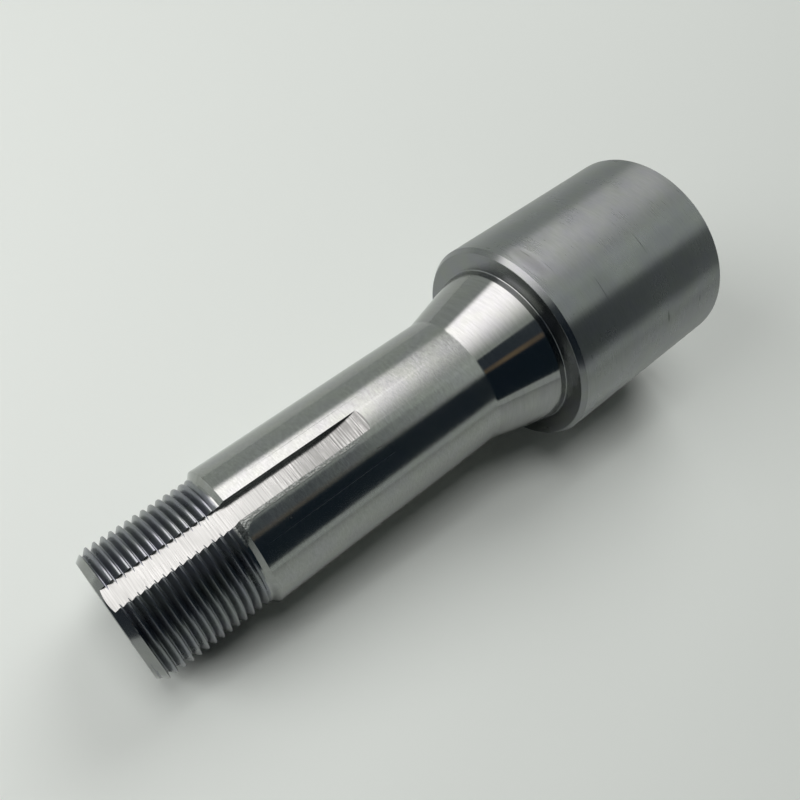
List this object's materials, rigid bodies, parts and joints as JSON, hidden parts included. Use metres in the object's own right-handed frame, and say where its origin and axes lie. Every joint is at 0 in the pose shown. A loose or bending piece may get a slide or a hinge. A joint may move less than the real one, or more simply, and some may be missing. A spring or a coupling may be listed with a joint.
{
  "type": "blank arbor with collet shank",
  "caption": "One-piece steel blank arbor: plain round head, seating taper, ground keyed shank and threaded draw-in end.",
  "frame": {"origin": "centre of the head's flat end, on which the arbor stands", "axes": "+Z along the axis to the threaded end; the keyway is in the -Y side"},
  "size_m": [0.0508, 0.0508, 0.1542],
  "materials": {
    "ground_steel": "ground shank and taper, turned satin head, cut thread"
  },
  "bodies": {
    "root": {"blank_arbor": "ground_steel"}
  },
  "joints": []
}
